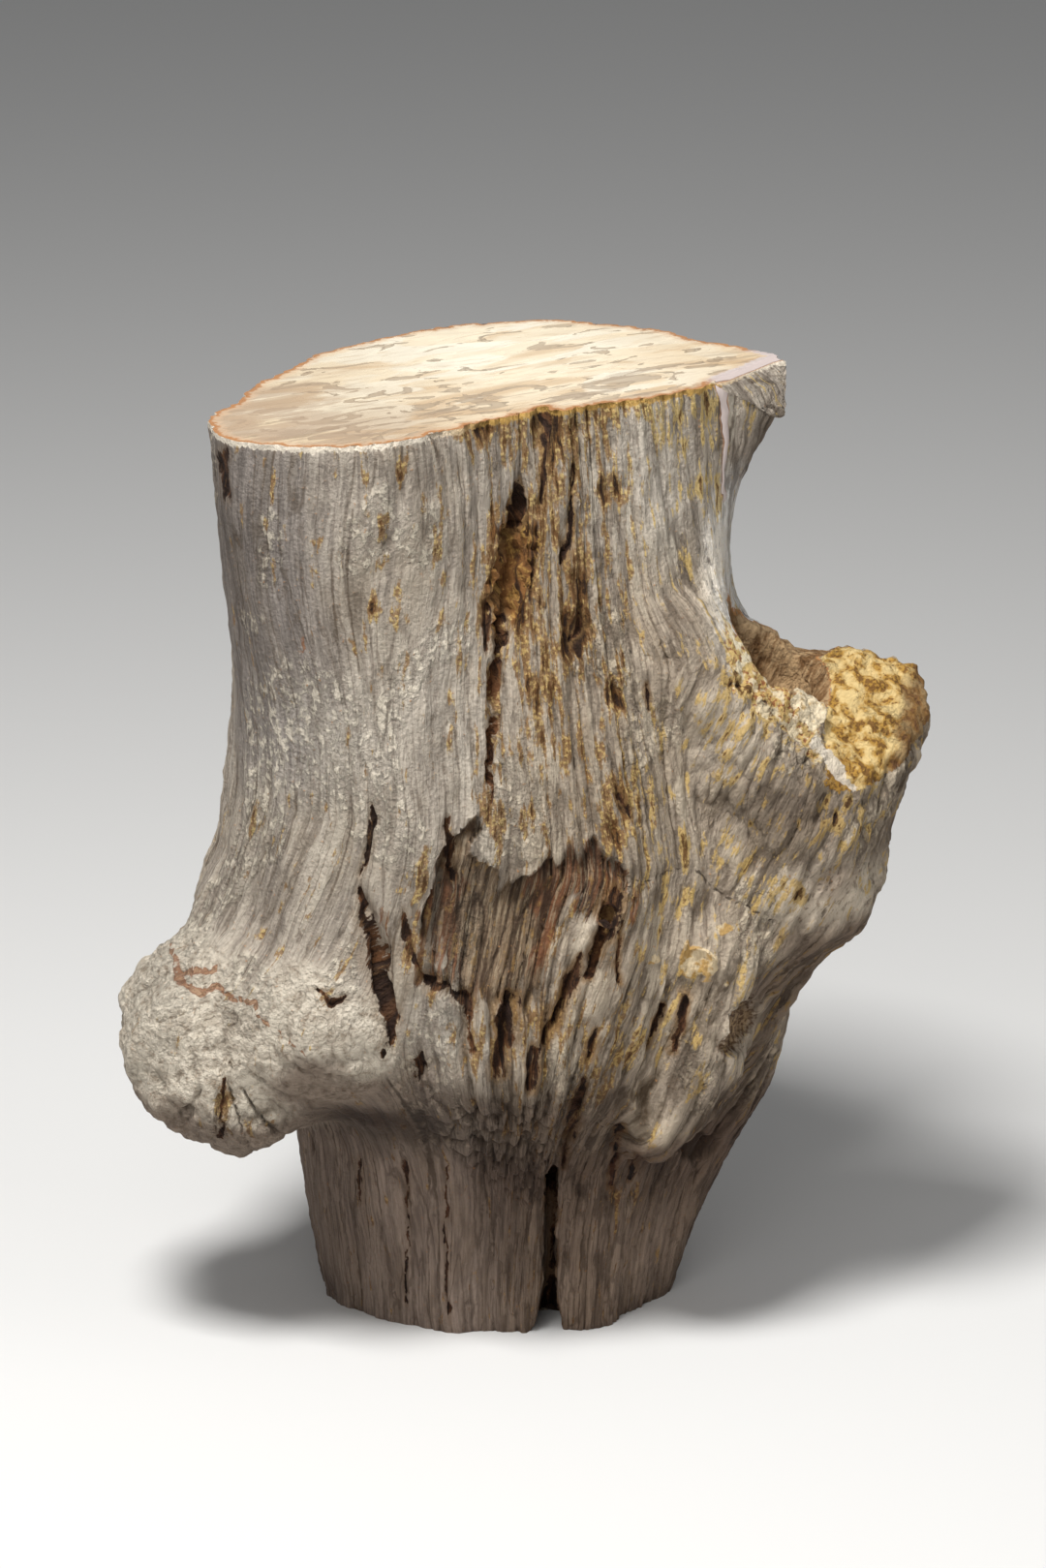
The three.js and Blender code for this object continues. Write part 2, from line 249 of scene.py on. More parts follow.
# Relief is how far the surface is raised, in millimetres: first on the wood, then on the
# burl's crust, and last on the scales above the foot, the branch and its break.
relief = (0.25 + 0.75 * rough) * valleys(furrow, 6.0, 1.1)
relief += (0.2 + 0.8 * rough) * valleys(fine_furrow, 3.0, 0.6)
relief += rough * 2.0 * (plate_number - 0.5) * ramp(plate_gap, 0, 0.2)
relief *= 1 - burl
relief += 1.5 * swells * (1 - burl)
relief += flaps * (2.2 * ramp(flap_gap, 0, 0.35) + 1.8 * flap_number - 2.8)
relief += (0.3 + 0.6 * rough) * crumbs + (0.5 + 0.6 * rough) * lumps * (1 - 0.6 * waist)

bumpy = places + 3.5 * speckle(places, 13, 8.8)[:, None]
wrinkle = speckle(bumpy, 8.5, 6.1)
around = np.arctan2(z - 172, x - BURL[0][0])
spokes = speckle(np.stack([3.2 * np.cos(around), 3.2 * np.sin(around), z / 90], axis=1), 1, 5.5)
crust = 4.5 * np.abs(speckle(bumpy, 17, 1.1)) + 2.8 * np.abs(wrinkle) - 1.6
crust += 4.0 * speckle(places, 28, 4.8) + 1.2 * np.abs(crumbs)
crust -= 3.0 * np.exp(-((spokes / 0.07) ** 2)) * (1 - ramp(z, 150, 185))
relief += burl * crust * (1 - 0.5 * ramp(-normals[:, 2], 0.3, 0.8))
relief += crinkled * (2.0 * ramp(scale_gap, 0, 0.3) + 1.8 * scale_number - 2.4)
branch_lumps = np.abs(speckle(branch_fibre, np.array([13, 13, 30]), 2.4))
relief += branch * (1 - hollow) * (1 - broken) * (4.4 * branch_lumps - 1.0)
relief += hollow * 2.2 * speckle(places, 9, 5.1)
relief += broken * (3.0 * np.abs(wrinkle) + 3.0 * speckle(places, 12, 7.3) - 1.0)

# ------------------------------------------------------------------ clefts and cavities
# Dark clefts follow the grain down the front. Each is a path of (x, z, half width, depth)
# seen from the front, or from the back for the ones on that side.
FRONT_CLEFTS = [
    [(12, 489, 1.2, 1), (11, 474, 1.6, 1), (10, 458, 1.4, 3), (9, 442, 1.0, 4)],
    [(-1, 453, 1.0, 3), (-2, 441, 1.8, 6), (-6, 429, 1.8, 6), (-9, 421, 1.2, 4)],
    [(-12, 404, 1.0, 3), (-16, 396, 3.0, 8), (-17, 386, 3.2, 8), (-17, 375, 1.4, 5)],
    [(-11, 388, 1.2, 5), (-13, 366, 1.7, 7), (-14, 345, 1.6, 7), (-16, 320, 1.2, 5),
     (-17, 290, 0.8, 2)],
    [(24, 462, 1.0, 4), (24, 445, 0.8, 3), (22, 422, 1.6, 5), (20, 412, 1.0, 3)],
    [(27, 391, 1.2, 4), (29, 382, 2.2, 5), (24, 374, 1.2, 3)],
    [(-81, 256, 1.4, 3), (-78, 243, 3.6, 7), (-74, 228, 4.8, 9), (-71, 214, 4.8, 9),
     (-67, 198, 3.8, 7), (-64, 176, 2.0, 4)],
    [(-74, 298, 1.2, 4), (-75, 281, 1.4, 4), (-81, 262, 1.0, 3)],
    [(-36, 295, 1.0, 4), (-36, 284, 2.2, 7), (-35, 272, 2.8, 8), (-33, 260, 1.4, 4)],
    [(-59, 248, 1.0, 3), (-58, 238, 2.0, 6), (-54, 224, 1.8, 5), (-50, 212, 1.5, 4)],
    [(-50, 213, 2.0, 5), (-44, 207, 3.0, 6), (-37, 209, 1.4, 4), (-28, 204, 2.6, 5)],
    [(-28, 206, 2.4, 6), (-26, 194, 1.8, 6), (-26, 184, 2.6, 7), (-25, 174, 3.0, 6)],
    [(-6, 203, 2.4, 6), (-7, 192, 3.8, 9), (-9, 175, 4.0, 9), (-11, 161, 2.6, 7)],
    [(7, 176, 1.6, 5), (6, 164, 2.6, 7), (4, 151, 1.8, 5)],
    [(-50, 171, 1.6, 5), (-52, 163, 4.0, 8), (-53, 156, 2.4, 5)],
    [(47, 256, 2.4, 1), (45, 248, 4.2, 1), (42, 237, 3.6, 3), (36, 225, 2.6, 7), (31, 212, 1.8, 5)],
    [(28, 223, 1.2, 4), (24, 210, 3.0, 8), (17, 192, 3.2, 9), (11, 177, 2.2, 7)],
    [(36, 183, 1.4, 4), (34, 174, 2.2, 6), (32, 164, 1.2, 3)],
    [(48, 238, 1.2, 3), (47, 208, 1.3, 4)],
    [(30, 156, 1.2, 4), (26, 134, 1.6, 5)],
    [(69, 189, 1.8, 5), (63, 169, 1.3, 4)],
    [(81, 194, 2.0, 5), (74, 167, 1.3, 4)],
    [(29, 147, 1.6, 5), (24, 124, 2.0, 6), (20, 98, 1.6, 5)],
    [(48, 119, 1.4, 4), (46, 80, 1.3, 4)],
    [(59, 106, 1.6, 4), (57, 84, 1.2, 3)],
    [(15, 92, 1.6, 8), (14, 20, 1.8, 10), (13, 0, 3.4, 12)],
    [(-60, 96, 0.9, 2), (-59, 60, 1.0, 2), (-60, 12, 0.8, 2)],
    [(-85, 88, 1.4, 3), (-83, 66, 1.0, 2)],
    [(-39, 96, 0.8, 2), (-40, 50, 0.9, 2), (-38, 6, 0.8, 2)],
    [(-146, 470, 1.8, 3), (-145, 448, 2.2, 4)],
    [(60, 352, 1.2, 3), (62, 338, 1.0, 2)],
    [(49, 300, 1.6, 4), (53, 288, 1.4, 4)],
    [(-102, 206, 0.9, 3), (-95, 200, 1.1, 4), (-88, 203, 0.9, 3)],
    [(-148, 155, 1.2, 3), (-150, 138, 1.8, 5), (-152, 122, 1.4, 3)],
    [(-70, 175, 1.2, 3), (-69, 170, 1.0, 2)],
]
BACK_CLEFTS = [
    [(-20, 484, 2, 3), (-26, 420, 3.2, 7), (-22, 350, 2, 3)],
    [(44, 202, 2, 3), (36, 140, 3.2, 7), (30, 68, 2, 3)],
    [(-68, 330, 1.5, 3), (-72, 270, 2.6, 6), (-68, 225, 1.5, 3)],
    [(62, 460, 1.5, 3), (68, 410, 2.2, 5), (66, 360, 1.5, 3)],
    [(-52, 150, 1.5, 3), (-48, 90, 2.2, 5), (-50, 30, 1.5, 3)],
]
# Paths of (x, z, half width): cracks across the grain, and the tan vein over the burl, with
# its branch and a tan patch higher up on the left.
CRACKS = [
    [(48, 263, 0.5), (60, 257, 0.6), (71, 257, 0.6), (80, 259, 0.5)],
    [(85, 259, 0.5), (93, 248, 0.7), (106, 240, 0.8), (113, 236, 0.8), (126, 229, 0.5)],
    [(51, 368, 0.4), (63, 365, 0.4), (76, 365, 0.4)],
    [(-38, 418, 0.4), (-45, 421, 0.5), (-58, 422, 0.4)],
    [(46, 121, 0.4), (37, 123, 0.5), (28, 121, 0.4)],
    [(-4, 466, 0.4), (-14, 460, 0.6), (-22, 462, 0.4)],
]
VEIN = [
    [(-178, 207, 1.2), (-173, 197, 1.8), (-160, 193, 1.4), (-151, 197, 1.2), (-144, 193, 1.6),
     (-133, 196, 1.3), (-131, 189, 1.2), (-117, 180, 1.0), (-106, 176, 0.7)],
    [(-171, 200, 1.2), (-162, 201, 1.1), (-152, 206, 0.9)],
    [(-107, 386, 0.6), (-108, 379, 1.6), (-109, 373, 2.2)],
]
# Stains, each (x, z, half width, half height, strength): brown round the cavity and below the
# rim, ochre down the right, and small drips and specks on the left and on the burl.
STAINS = [
    (6, 480, 32, 16, 0.35), (13, 456, 6, 36, 0.45), (-5, 411, 17, 36, 0.45),
    (28, 406, 5, 15, 0.6), (26, 380, 8, 13, 0.5), (33, 480, 12, 11, 0.25),
    (70, 484, 24, 9, 0.25), (-28, 487, 12, 7, 0.3), (-50, 240, 13, 40, 0.35),
    (24, 440, 5, 30, 0.3), (84, 478, 14, 18, 0.5), (88, 434, 12, 14, 0.5),
    (11, 357, 12, 26, 0.3), (27, 377, 6, 12, 0.5), (43, 446, 11, 8, 0.4), (46, 349, 6, 12, 0.35),
    (-18, 295, 11, 12, 0.3), (46, 291, 9, 20, 0.5), (103, 334, 22, 34, 0.2),
    (108, 356, 7, 14, 0.4), (122, 338, 12, 12, 0.4), (-59, 473, 3, 13, 0.5),
    (-66, 440, 4, 8, 0.4), (-68, 424, 4, 9, 0.45), (-57, 407, 4, 9, 0.3), (-72, 400, 3, 10, 0.4),
    (-77, 379, 3, 7, 0.4), (-101, 430, 4, 6, 0.45), (-134, 278, 4, 8, 0.45),
    (-115, 293, 4, 8, 0.35), (-40, 431, 7, 17, 0.35), (-23, 478, 6, 9, 0.5),
    (-12, 190, 30, 26, 0.25), (43, 173, 36, 30, 0.15), (87, 252, 40, 24, 0.2),
    (133, 244, 10, 10, 0.3), (160, 282, 14, 12, 0.3), (-95, 202, 9, 7, 0.4),
    (-148, 142, 5, 20, 0.4), (-125, 129, 5, 4, 0.5), (-130, 226, 8, 4, 0.4),
    (-100, 190, 3, 4, 0.4), (-85, 176, 4, 5, 0.4), (112, 472, 8, 12, 0.3), (52, 72, 10, 12, 0.3),
    (-30, 82, 3, 5, 0.3),
]
# Patches that are lighter (+) or darker (-) than the rest: (x, z, half width, half height, by).
# Most are painted light and shade: darker in the shade under the burl and the trunk's overhang, on
# the foot and on faces turned from the key light, and lighter where light catches the waist; the
# rest are the stone's own tone.
TONES = [
    (82, 152, 12, 26, -0.5), (-66, 120, 36, 15, -0.75), (-92, 129, 34, 10, -0.6),
    (-95, 62, 18, 44, -0.4), (106, 165, 14, 30, 0.2), (134, 286, 32, 24, -0.6),
    (100, 325, 22, 30, 0.3), (152, 240, 30, 20, 0.9), (97, 398, 10, 30, 1.0),
    (57, 462, 26, 24, 0.15), (118, 470, 12, 24, -0.25), (-123, 246, 30, 26, -0.2),
    (-45, 262, 22, 70, -0.15), (65, 30, 16, 30, 0.3), (-150, 430, 30, 60, -0.35),
    (-95, 330, 34, 36, 0.2), (-36, 187, 9, 16, 0.3), (-17, 186, 8, 15, 0.3),
    (1, 175, 7, 13, 0.25), (30, 206, 7, 20, 0.3), (-24, 330, 50, 70, 0.2),
    (68, 90, 12, 24, -0.3), (30, 238, 8, 20, 0.3), (70, 440, 20, 30, 0.2),
]

# Places as seen from the front, with their edges frayed, and how a cleft's width wavers.
sideways = 1.3 * speckle(places, np.array([4, 4, 5]), 4.1) + 1.8 * speckle(places, 14, 2.7)
upwards = 2.0 * speckle(places, 7, 1.7)
frayed = places[:, [0, 2]] + np.stack([sideways, upwards], axis=1)
width_change = 1 + 0.7 * speckle(places, np.array([6, 6, 9]), 3.3)
FAR = 9.0


def along_path(path):
    """Each place's distance from a path in half widths, and the path's depth beside it."""
    nearest = np.full(count, FAR)
    depth = np.zeros(count)
    for start, end in zip(path, path[1:]):
        begin, along = np.array(start[:2]), np.array(end[:2]) - start[:2]
        share = np.clip((frayed - begin) @ along / (along @ along), 0, 1)
        away = np.linalg.norm(frayed - begin - share[:, None] * along, axis=1)
        away /= 0.9 * (start[2] + (end[2] - start[2]) * share) * width_change
        closer = away < nearest
        nearest[closer] = away[closer]
        depth[closer] = (start[-1] + (end[-1] - start[-1]) * share)[closer]
    return nearest, depth


def all_paths(paths, shown):
    """The gap to the nearest of several paths and their depth, on the places where they show."""
    nearest = np.full(count, FAR)
    deepest = np.zeros(count)
    for path in paths:
        away, depth = along_path(path)
        nearest = np.minimum(nearest, away + 6 * (1 - shown))
        shoulder = 0.8 * ramp(away, 1.25, 0.25) + 0.2 * ramp(away, 5, 1)
        deepest = np.maximum(deepest, depth * shoulder * shown)
    return nearest, deepest


def with_spots(base, spots, start, end):
    """Adds soft ragged spots, each (x, z, half width, half height, strength), on the front."""
    total = np.array(base)
    for spot_x, spot_z, half_width, half_height, strength in spots:
        across = (frayed[:, 0] - spot_x) / half_width
        reach = np.hypot(across, (frayed[:, 1] - spot_z) / half_height)
        total += strength * (1 - ramp(reach, start, end)) * facing_front
    return total


front_gap, front_depth = all_paths(FRONT_CLEFTS, facing_front)
back_gap, back_depth = all_paths(BACK_CLEFTS, ramp(normals[:, 1], 0, 0.4))
cleft_gap = np.minimum(front_gap, back_gap)
cleft_depth = np.maximum(front_depth, back_depth)
crack_gap = all_paths(CRACKS, facing_front)[0]
vein_gap = all_paths(VEIN, facing_front)[0]

right_side = ramp(degrees, -104, -80) * (1 - ramp(degrees, 0, 40))

# The main cavity is a ragged brown hollow. Under it a layer of wood has torn away from a
# stepped edge, down to pale torn fingers: TORN_TOP and TORN_FOOT are these edges' (x, z).
# Further right there are a pale knob, a pit and a small dark pit.
CAVITY = (-4, -85, 409), (12, 60, 27)
KNOB = (90, -98, 216), (19, 22, 12)
PIT = (109, -85, 175), (11, 30, 16)
SMALL_PIT = (88, -40, 89), (12, 40, 12)
TORN_TOP = [
    (-50, 240), (-42, 262), (-33, 277), (-26, 291), (-17, 292), (-16, 274), (-12, 259),
    (-2, 258), (5, 268), (13, 272), (25, 275), (37, 276), (47, 272), (51, 246),
]
TORN_FOOT = [
    (-52, 212), (-44, 208), (-38, 206), (-28, 204), (-20, 202), (-15, 204), (-8, 200),
    (-2, 190), (4, 200), (8, 215), (13, 236), (20, 243), (30, 243), (36, 232), (47, 246),
]
tear = along_grain(6, 60, 7.7)
cavity_edge = lump(*CAVITY) + 0.8 * along_grain(5, 22, 6.2) + 0.25 * crumbs
ragged_x = x + 16 * speckle(places, np.array([30, 30, 22]), 1.9)
steps = np.interp(ragged_x, *zip(*TORN_TOP))
fingers = np.interp(ragged_x, *zip(*TORN_FOOT))
torn_height = np.minimum(steps - z, 0.8 * (z - fingers))
torn_height = np.minimum(torn_height, 0.6 * (50 - np.abs(ragged_x + 0.5)))
torn_edge = torn_height + 12 * tear + 2 * crumbs - 30 * (1 - facing_front)
torn = ramp(torn_edge, -1, 3)
overhang = torn * (1 - ramp(steps - z, 4, 14))
cavity = (1 - ramp(cavity_edge, 0.8, 1.05)) * facing_front
knob = facing_front * (1 - ramp(lump(*KNOB) + 1.4 * lumps + 0.8 * crumbs, 0.4, 1.2))
pit_edge = lump(*PIT) + 0.5 * lumps + 0.25 * crumbs
pit = 1 - ramp(pit_edge, 0.7, 1.1)
small_pit = 1 - ramp(lump(*SMALL_PIT) + 0.7 * lumps + 0.3 * crumbs, 0.6, 1.0)

# The right side and a strip above the torn wood are stained all over, the corner's face isn't,
# and the stains high on the right are never thick enough to be dark.
corner_face = ramp(x, 98, 104) * ramp(z, 425, 445)
stained = 0.12 * right_side * (1 - 0.6 * foot) * (1 - corner_face)
stained += 0.12 * ramp(z, 250, 290) * (1 - ramp(np.abs(x - 12), 30, 60))
stained = with_spots(stained, STAINS, 0.3, 1.5)
tones = with_spots(np.zeros(count), TONES, 0.2, 1.4)
bright = (x > 60) & (z > 400)
stained[bright] = np.minimum(stained[bright], 0.4)
soil = stained + 0.4 * along_grain(5, 20, 7.1) * (1 - 0.7 * burl) * (1 - 0.5 * foot)

# A white lump and a white slab edge stand on the branch's front rim, beside a yellow fringe.
RIM_LUMP = (138, -60, 335), (15, 13, 8)
SLAB = [(144, 319, 2), (154, 307, 2.8), (164, 295, 2)]
FRINGE = [(101, 377, 2), (107, 364, 4), (115, 351, 5), (124, 340, 5), (135, 329, 4), (146, 314, 3)]
on_branch_front = facing_front * (1 - ramp(y, -56, -46))
rim_lump = 1 - ramp(lump(*RIM_LUMP) + 0.8 * lumps + 0.3 * crumbs, 0.8, 1.15)
slab_gap = all_paths([SLAB], on_branch_front)[0]
fringe_gap = all_paths([FRINGE], on_branch_front)[0]

# The right corner is chamfered. Polish rounds its upper edge and runs down its left side as
# a narrowing lilac line, and below that the chamfer is rough.
CORNER = (93, -30)
CORNER_TURN = math.radians(53.6)
from_corner = places[:, :2] - CORNER
beside = from_corner @ (math.cos(CORNER_TURN), math.sin(CORNER_TURN))
beyond = from_corner @ (math.sin(CORNER_TURN), -math.cos(CORNER_TURN))
beyond = beyond * ramp(beside, -6, 2) * (1 - ramp(beside, 50, 66))
FLUTE = [(98, 490, 2.6), (101, 478, 1.7), (100, 462, 1.2), (100, 430, 0.8)]
flute_gap = all_paths([FLUTE], facing_front)[0]
rounded = np.abs(beyond - 1) / 2 + 4 * ramp(-z, -484, -476) + 4 * (1 - ramp(beside, -4, 2))
flute_gap = np.minimum(flute_gap, rounded + 0.3 * lumps)
chamfer = (0.3 * np.maximum(beyond, 0) + 0.06 * np.maximum(beyond, 0) ** 2) * (z > 455)

# The torn wood lies deeper than the skin above it, which ends in a raised lip.
lip = np.exp(-((torn_edge + 3) / 2.5) ** 2) * facing_front
relief *= 1 - 0.4 * torn
relief *= 0.2 + 0.8 * ramp(flute_gap, 0.8, 1.6)
relief -= 2.0 * ramp(soil, 0.5, 0.9) * (1 - 0.5 * burl)
relief -= (2.6 + 5 * crumbs - 6 * np.abs(wrinkle)) * cavity + 2.8 * torn + 1.2 * overhang
relief += 0.8 * lip - 2.4 * torn * np.exp(-((tear / 0.1) ** 2))
relief += 4.0 * knob * (1 + 1.4 * lumps) - 4.5 * pit - 3.5 * small_pit
relief += rim_lump * (4.0 * np.abs(wrinkle) - 1.0)
shape = relief - 0.75 * cleft_depth - 0.8 * (1 - ramp(crack_gap, 0.5, 3))

# ------------------------------------------------------------------ shaping and cutting
# The weathering is carved along the surface's normals. The polished top and the sawn base
# are then cut flat, and the top's rim is left a little chipped.
rim_gap = top_at - points[:, 2]
chips = (1 - ramp(rim_gap, 0.5, 7)) * ramp(speckle(places, np.array([7, 7, 14]), 9.9), -0.05, 0.4)
near_end = np.minimum(np.abs(rim_gap), points[:, 2]) < 9
side = 1 - ramp(np.abs(normals[:, 2]), 0.8, 0.95) * near_end
points += normals * ((shape - 2.0 * chips) * side)[:, None]
low, high = (np.array(corner) * 1000 for corner in cad_box)
points = np.clip(points, low, high)
top_at = 1000 * (top_height + top_slope * points[:, 0] / 1000)
points[:, 2] = np.clip(points[:, 2], 0, top_at - chamfer)
stone.data.vertices.foreach_set("co", (points / 1000).ravel())
stone.data.update()

# What the materials need to know is kept on the stone, as a number for each vertex. Two are only
# colours: a crusted patch on the left, and painted shade on what faces down, under overhangs.
CRUSTED = (-92, -60, 335), (46, 60, 62)
# Faces turned downwards get painted shade.
painted_shade_underneath = ramp(-normals[:, 2], 0.0, 0.5)
crusted = 1 - ramp(lump(*CRUSTED), 0.7, 1.3)
chalky = speckle(places, np.array([34, 34, 60]), 3.7) + 0.3 * (z < 390) - 0.2
chalky -= 0.2 * ramp(x, -70, -40)
for_materials = {
    "relief": relief,
    "cleft_gap": np.clip(cleft_gap, 0, 4),
    "crack_gap": np.clip(crack_gap, 0, 6),
    "vein_gap": np.clip(vein_gap, 0, 4),
    "soil": soil,
    "painted_shade_underneath": painted_shade_underneath * (1 - broken) * (1 - hollow),
    "flaps": flaps,
    "flap_gap": flap_gap,
    "rim_gap": np.clip(top_at - points[:, 2], 0, 20),
    "golden_rim": ramp(x, -50, -15) * facing_front,
    "furrow": furrow,
    "fine_furrow": fine_furrow,
    "wrinkle": wrinkle,
    "crinkled": crinkled,
    "chalky": np.maximum(ramp(chalky, 0.0, 0.3), crusted) * (1 - foot),
    "rim_lump": rim_lump,
    "slab_gap": np.clip(slab_gap, 0, 4),
    "fringe_gap": np.clip(fringe_gap, 0, 4),
    "outer": ramp(x + 0.35 * (330 - z), 176, 206),
    "cavity_edge": np.clip(cavity_edge + 2 * (1 - facing_front), 0, 2),
    "torn_edge": np.clip(torn_edge, -25, 25),
    "overhang": overhang,
    "redness": ramp(np.abs(ragged_x + 14), 12, 26),
    "tear": tear,
    "right_side": right_side,
    "knob": knob,
    "yellowing": ramp(x, 35, 85) * right_side,
    "warmth": right_side * (1 - burl) * (1 - waist) * (1 - ramp(z, 380, 430)),
    "shade": np.clip(-tones * (1 - burl * ramp(z, 124, 142)), 0, 1),
    "painted_light_and_pale_tone": np.clip(tones, 0, 1),
    "scale_gap": scale_gap,
    "flute_gap": np.clip(flute_gap, 0, 4),
    "pit_edge": np.clip(pit_edge, 0, 2),
    "small_pit": small_pit,
    "burl": burl,
    "foot": foot,
    "branch": branch,
    "waist": waist,
    "left_facet": left_facet,
    "hollow": hollow,
    "broken": broken,
}
for name, values in for_materials.items():
    stone.data.attributes.new(name, "FLOAT", "POINT").data.foreach_set("value", values)
for name, fibre in (("trunk_grain", trunk_fibre), ("branch_grain", branch_fibre)):
    layer = stone.data.attributes.new(name, "FLOAT_VECTOR", "POINT")
    layer.data.foreach_set("vector", (fibre / 1000).ravel())

# Vertices that the cuts pressed together are merged. The rim distance is kept for the top's
# edge line, and beyond it the flat ends are one face. The side then loses the triangles that
# its shape can spare. From here lengths are metres.
MERGE_WITHIN = 0.0004
RIM_BAND = 0.014
WALL_SHARE = 0.315
ON_PLANE = 1e-5
WEATHERED, POLISHED, SAWN = 0, 1, 2
bpy.ops.object.mode_set(mode="EDIT")
bpy.ops.mesh.select_all(action="SELECT")
bpy.ops.mesh.remove_doubles(threshold=MERGE_WITHIN)
bpy.ops.object.mode_set(mode="OBJECT")
mesh = stone.data
on_top = [abs(v.co.z - top_height - top_slope * v.co.x) < ON_PLANE for v in mesh.vertices]
on_base = [abs(v.co.z) < ON_PLANE for v in mesh.vertices]
rim = set()
for edge in mesh.edges:
    a, b = edge.vertices
    if on_top[a] != on_top[b]:
        rim.add(a if on_top[a] else b)
near_rim = kdtree.KDTree(len(rim))
for index in rim:
    near_rim.insert(mesh.vertices[index].co, index)
near_rim.balance()
rim_distance = [near_rim.find(v.co)[2] if on_top[v.index] else 0.0 for v in mesh.vertices]
mesh.attributes.new("rim_distance", "FLOAT", "POINT").data.foreach_set("value", rim_distance)
for face in mesh.polygons:
    if all(on_top[i] for i in face.vertices):
        face.material_index = POLISHED
    elif all(on_base[i] for i in face.vertices):
        face.material_index = SAWN


def select_faces(chosen):
    """Selects the faces that pass a test, and opens edit mode on them."""
    bpy.ops.object.mode_set(mode="EDIT")
    bpy.ops.mesh.select_all(action="DESELECT")
    bpy.ops.object.mode_set(mode="OBJECT")
    for face in mesh.polygons:
        face.select = chosen(face)
    bpy.ops.object.mode_set(mode="EDIT")


select_faces(
    lambda face: face.material_index == POLISHED
    and min(rim_distance[i] for i in face.vertices) > RIM_BAND
)
bpy.ops.mesh.select_mode(type="FACE")
bpy.ops.mesh.dissolve_faces()
select_faces(lambda face: face.material_index == SAWN)
bpy.ops.mesh.dissolve_faces()
select_faces(lambda face: face.material_index == WEATHERED)
bpy.ops.mesh.decimate(ratio=WALL_SHARE)
bpy.ops.mesh.select_all(action="DESELECT")
bpy.ops.object.mode_set(mode="OBJECT")
for vertex in mesh.vertices:
    for axis in range(3):
        vertex.co[axis] = min(max(vertex.co[axis], cad_box[0][axis]), cad_box[1][axis])
    vertex.co.z = min(vertex.co.z, top_height + top_slope * vertex.co.x)
bpy.ops.object.shade_smooth_by_angle(angle=math.radians(50))
print("stone", sum(len(f.vertices) - 2 for f in mesh.polygons), "triangles")

# ------------------------------------------------------------------ weathered skin
# The skin is chalky grey silica with fine fibres. Cream chalk sits on what stands proud, with a
# painted highlight, dirt, ochre and painted shade lie in the furrows, and the clefts and torn face
# show dark brown and russet, with painted shade deep in the clefts, under the torn edge and under
# overhangs.


def add(tree, kind, inputs=None, **settings):
    """Adds a node to a tree, with its settings, and its inputs as values or links."""
    node = tree.nodes.new(kind)
    for name, value in settings.items():
        setattr(node, name, value)
    for name, value in (inputs or {}).items():
        if isinstance(value, bpy.types.NodeSocket):
            tree.links.new(value, node.inputs[name])
        else:
            node.inputs[name].default_value = value
    return node


def group(name, inputs, outputs):
    """A new shader node group with named sockets. Returns it and its two end nodes."""
    tree = bpy.data.node_groups.new(name, "ShaderNodeTree")
    for socket, kind in inputs.items():
        tree.interface.new_socket(socket, in_out="INPUT", socket_type="NodeSocket" + kind)
    for socket, kind in outputs.items():
        tree.interface.new_socket(socket, in_out="OUTPUT", socket_type="NodeSocket" + kind)
    return tree, add(tree, "NodeGroupInput"), add(tree, "NodeGroupOutput")


# From here on, tree and spot are the node tree and the coordinates of the material at hand.
def laid(under, share, over, kind="MIX"):
    """The colour under, with the colour over laid on it by the given share."""
    node = add(tree, "ShaderNodeMix", data_type="RGBA", blend_type=kind)
    for index, value in ((0, share), (6, under), (7, over)):
        if isinstance(value, bpy.types.NodeSocket):
            tree.links.new(value, node.inputs[index])
        elif index:
            node.inputs[index].default_value = (*value, 1)
        else:
            node.inputs[index].default_value = value
    return node.outputs[2]


def band(value, start, end, top=1.0):
    """0 where value is at start, rising smoothly to top where it is at end."""
    inputs = {"Value": value, "From Min": start, "From Max": end, "To Min": 0.0, "To Max": top}
    return add(tree, "ShaderNodeMapRange", inputs, interpolation_type="SMOOTHSTEP").outputs[0]


def times(*factors):
    """The product of values."""
    product = factors[0]
    for factor in factors[1:]:
        inputs = {0: product, 1: factor}
        product = add(tree, "ShaderNodeMath", inputs, operation="MULTIPLY").outputs[0]
    return product


def plus(first, second):
    """The sum of two values."""
    return add(tree, "ShaderNodeMath", {0: first, 1: second}, operation="ADD").outputs[0]


def frayed_by(value, noise_value, amount):
    """A value moved up and down by noise that is about 0.5."""
    inputs = {0: noise_value, 1: amount, 2: -0.5 * amount}
    moved = add(tree, "ShaderNodeMath", inputs, operation="MULTIPLY_ADD").outputs[0]
    return plus(value, moved)


def kept(name, output="Fac"):
    """What the stone keeps at each vertex under this name."""
    return add(tree, "ShaderNodeAttribute", attribute_name=name).outputs[output]


def ragged(name, noise_value, amount, start, end, top=1.0):
    """A band over what the stone keeps under this name, with its edge frayed by noise."""
    return band(frayed_by(kept(name), noise_value, amount), start, end, top)


def cloud(scale, detail, place=None, warp=0.0):
    """Plain noise of the given scale, on the stone's own coordinates or on others."""
    inputs = {"Vector": place or spot, "Scale": scale, "Detail": detail, "Distortion": warp}
    return add(tree, "ShaderNodeTexNoise", inputs).outputs[0]


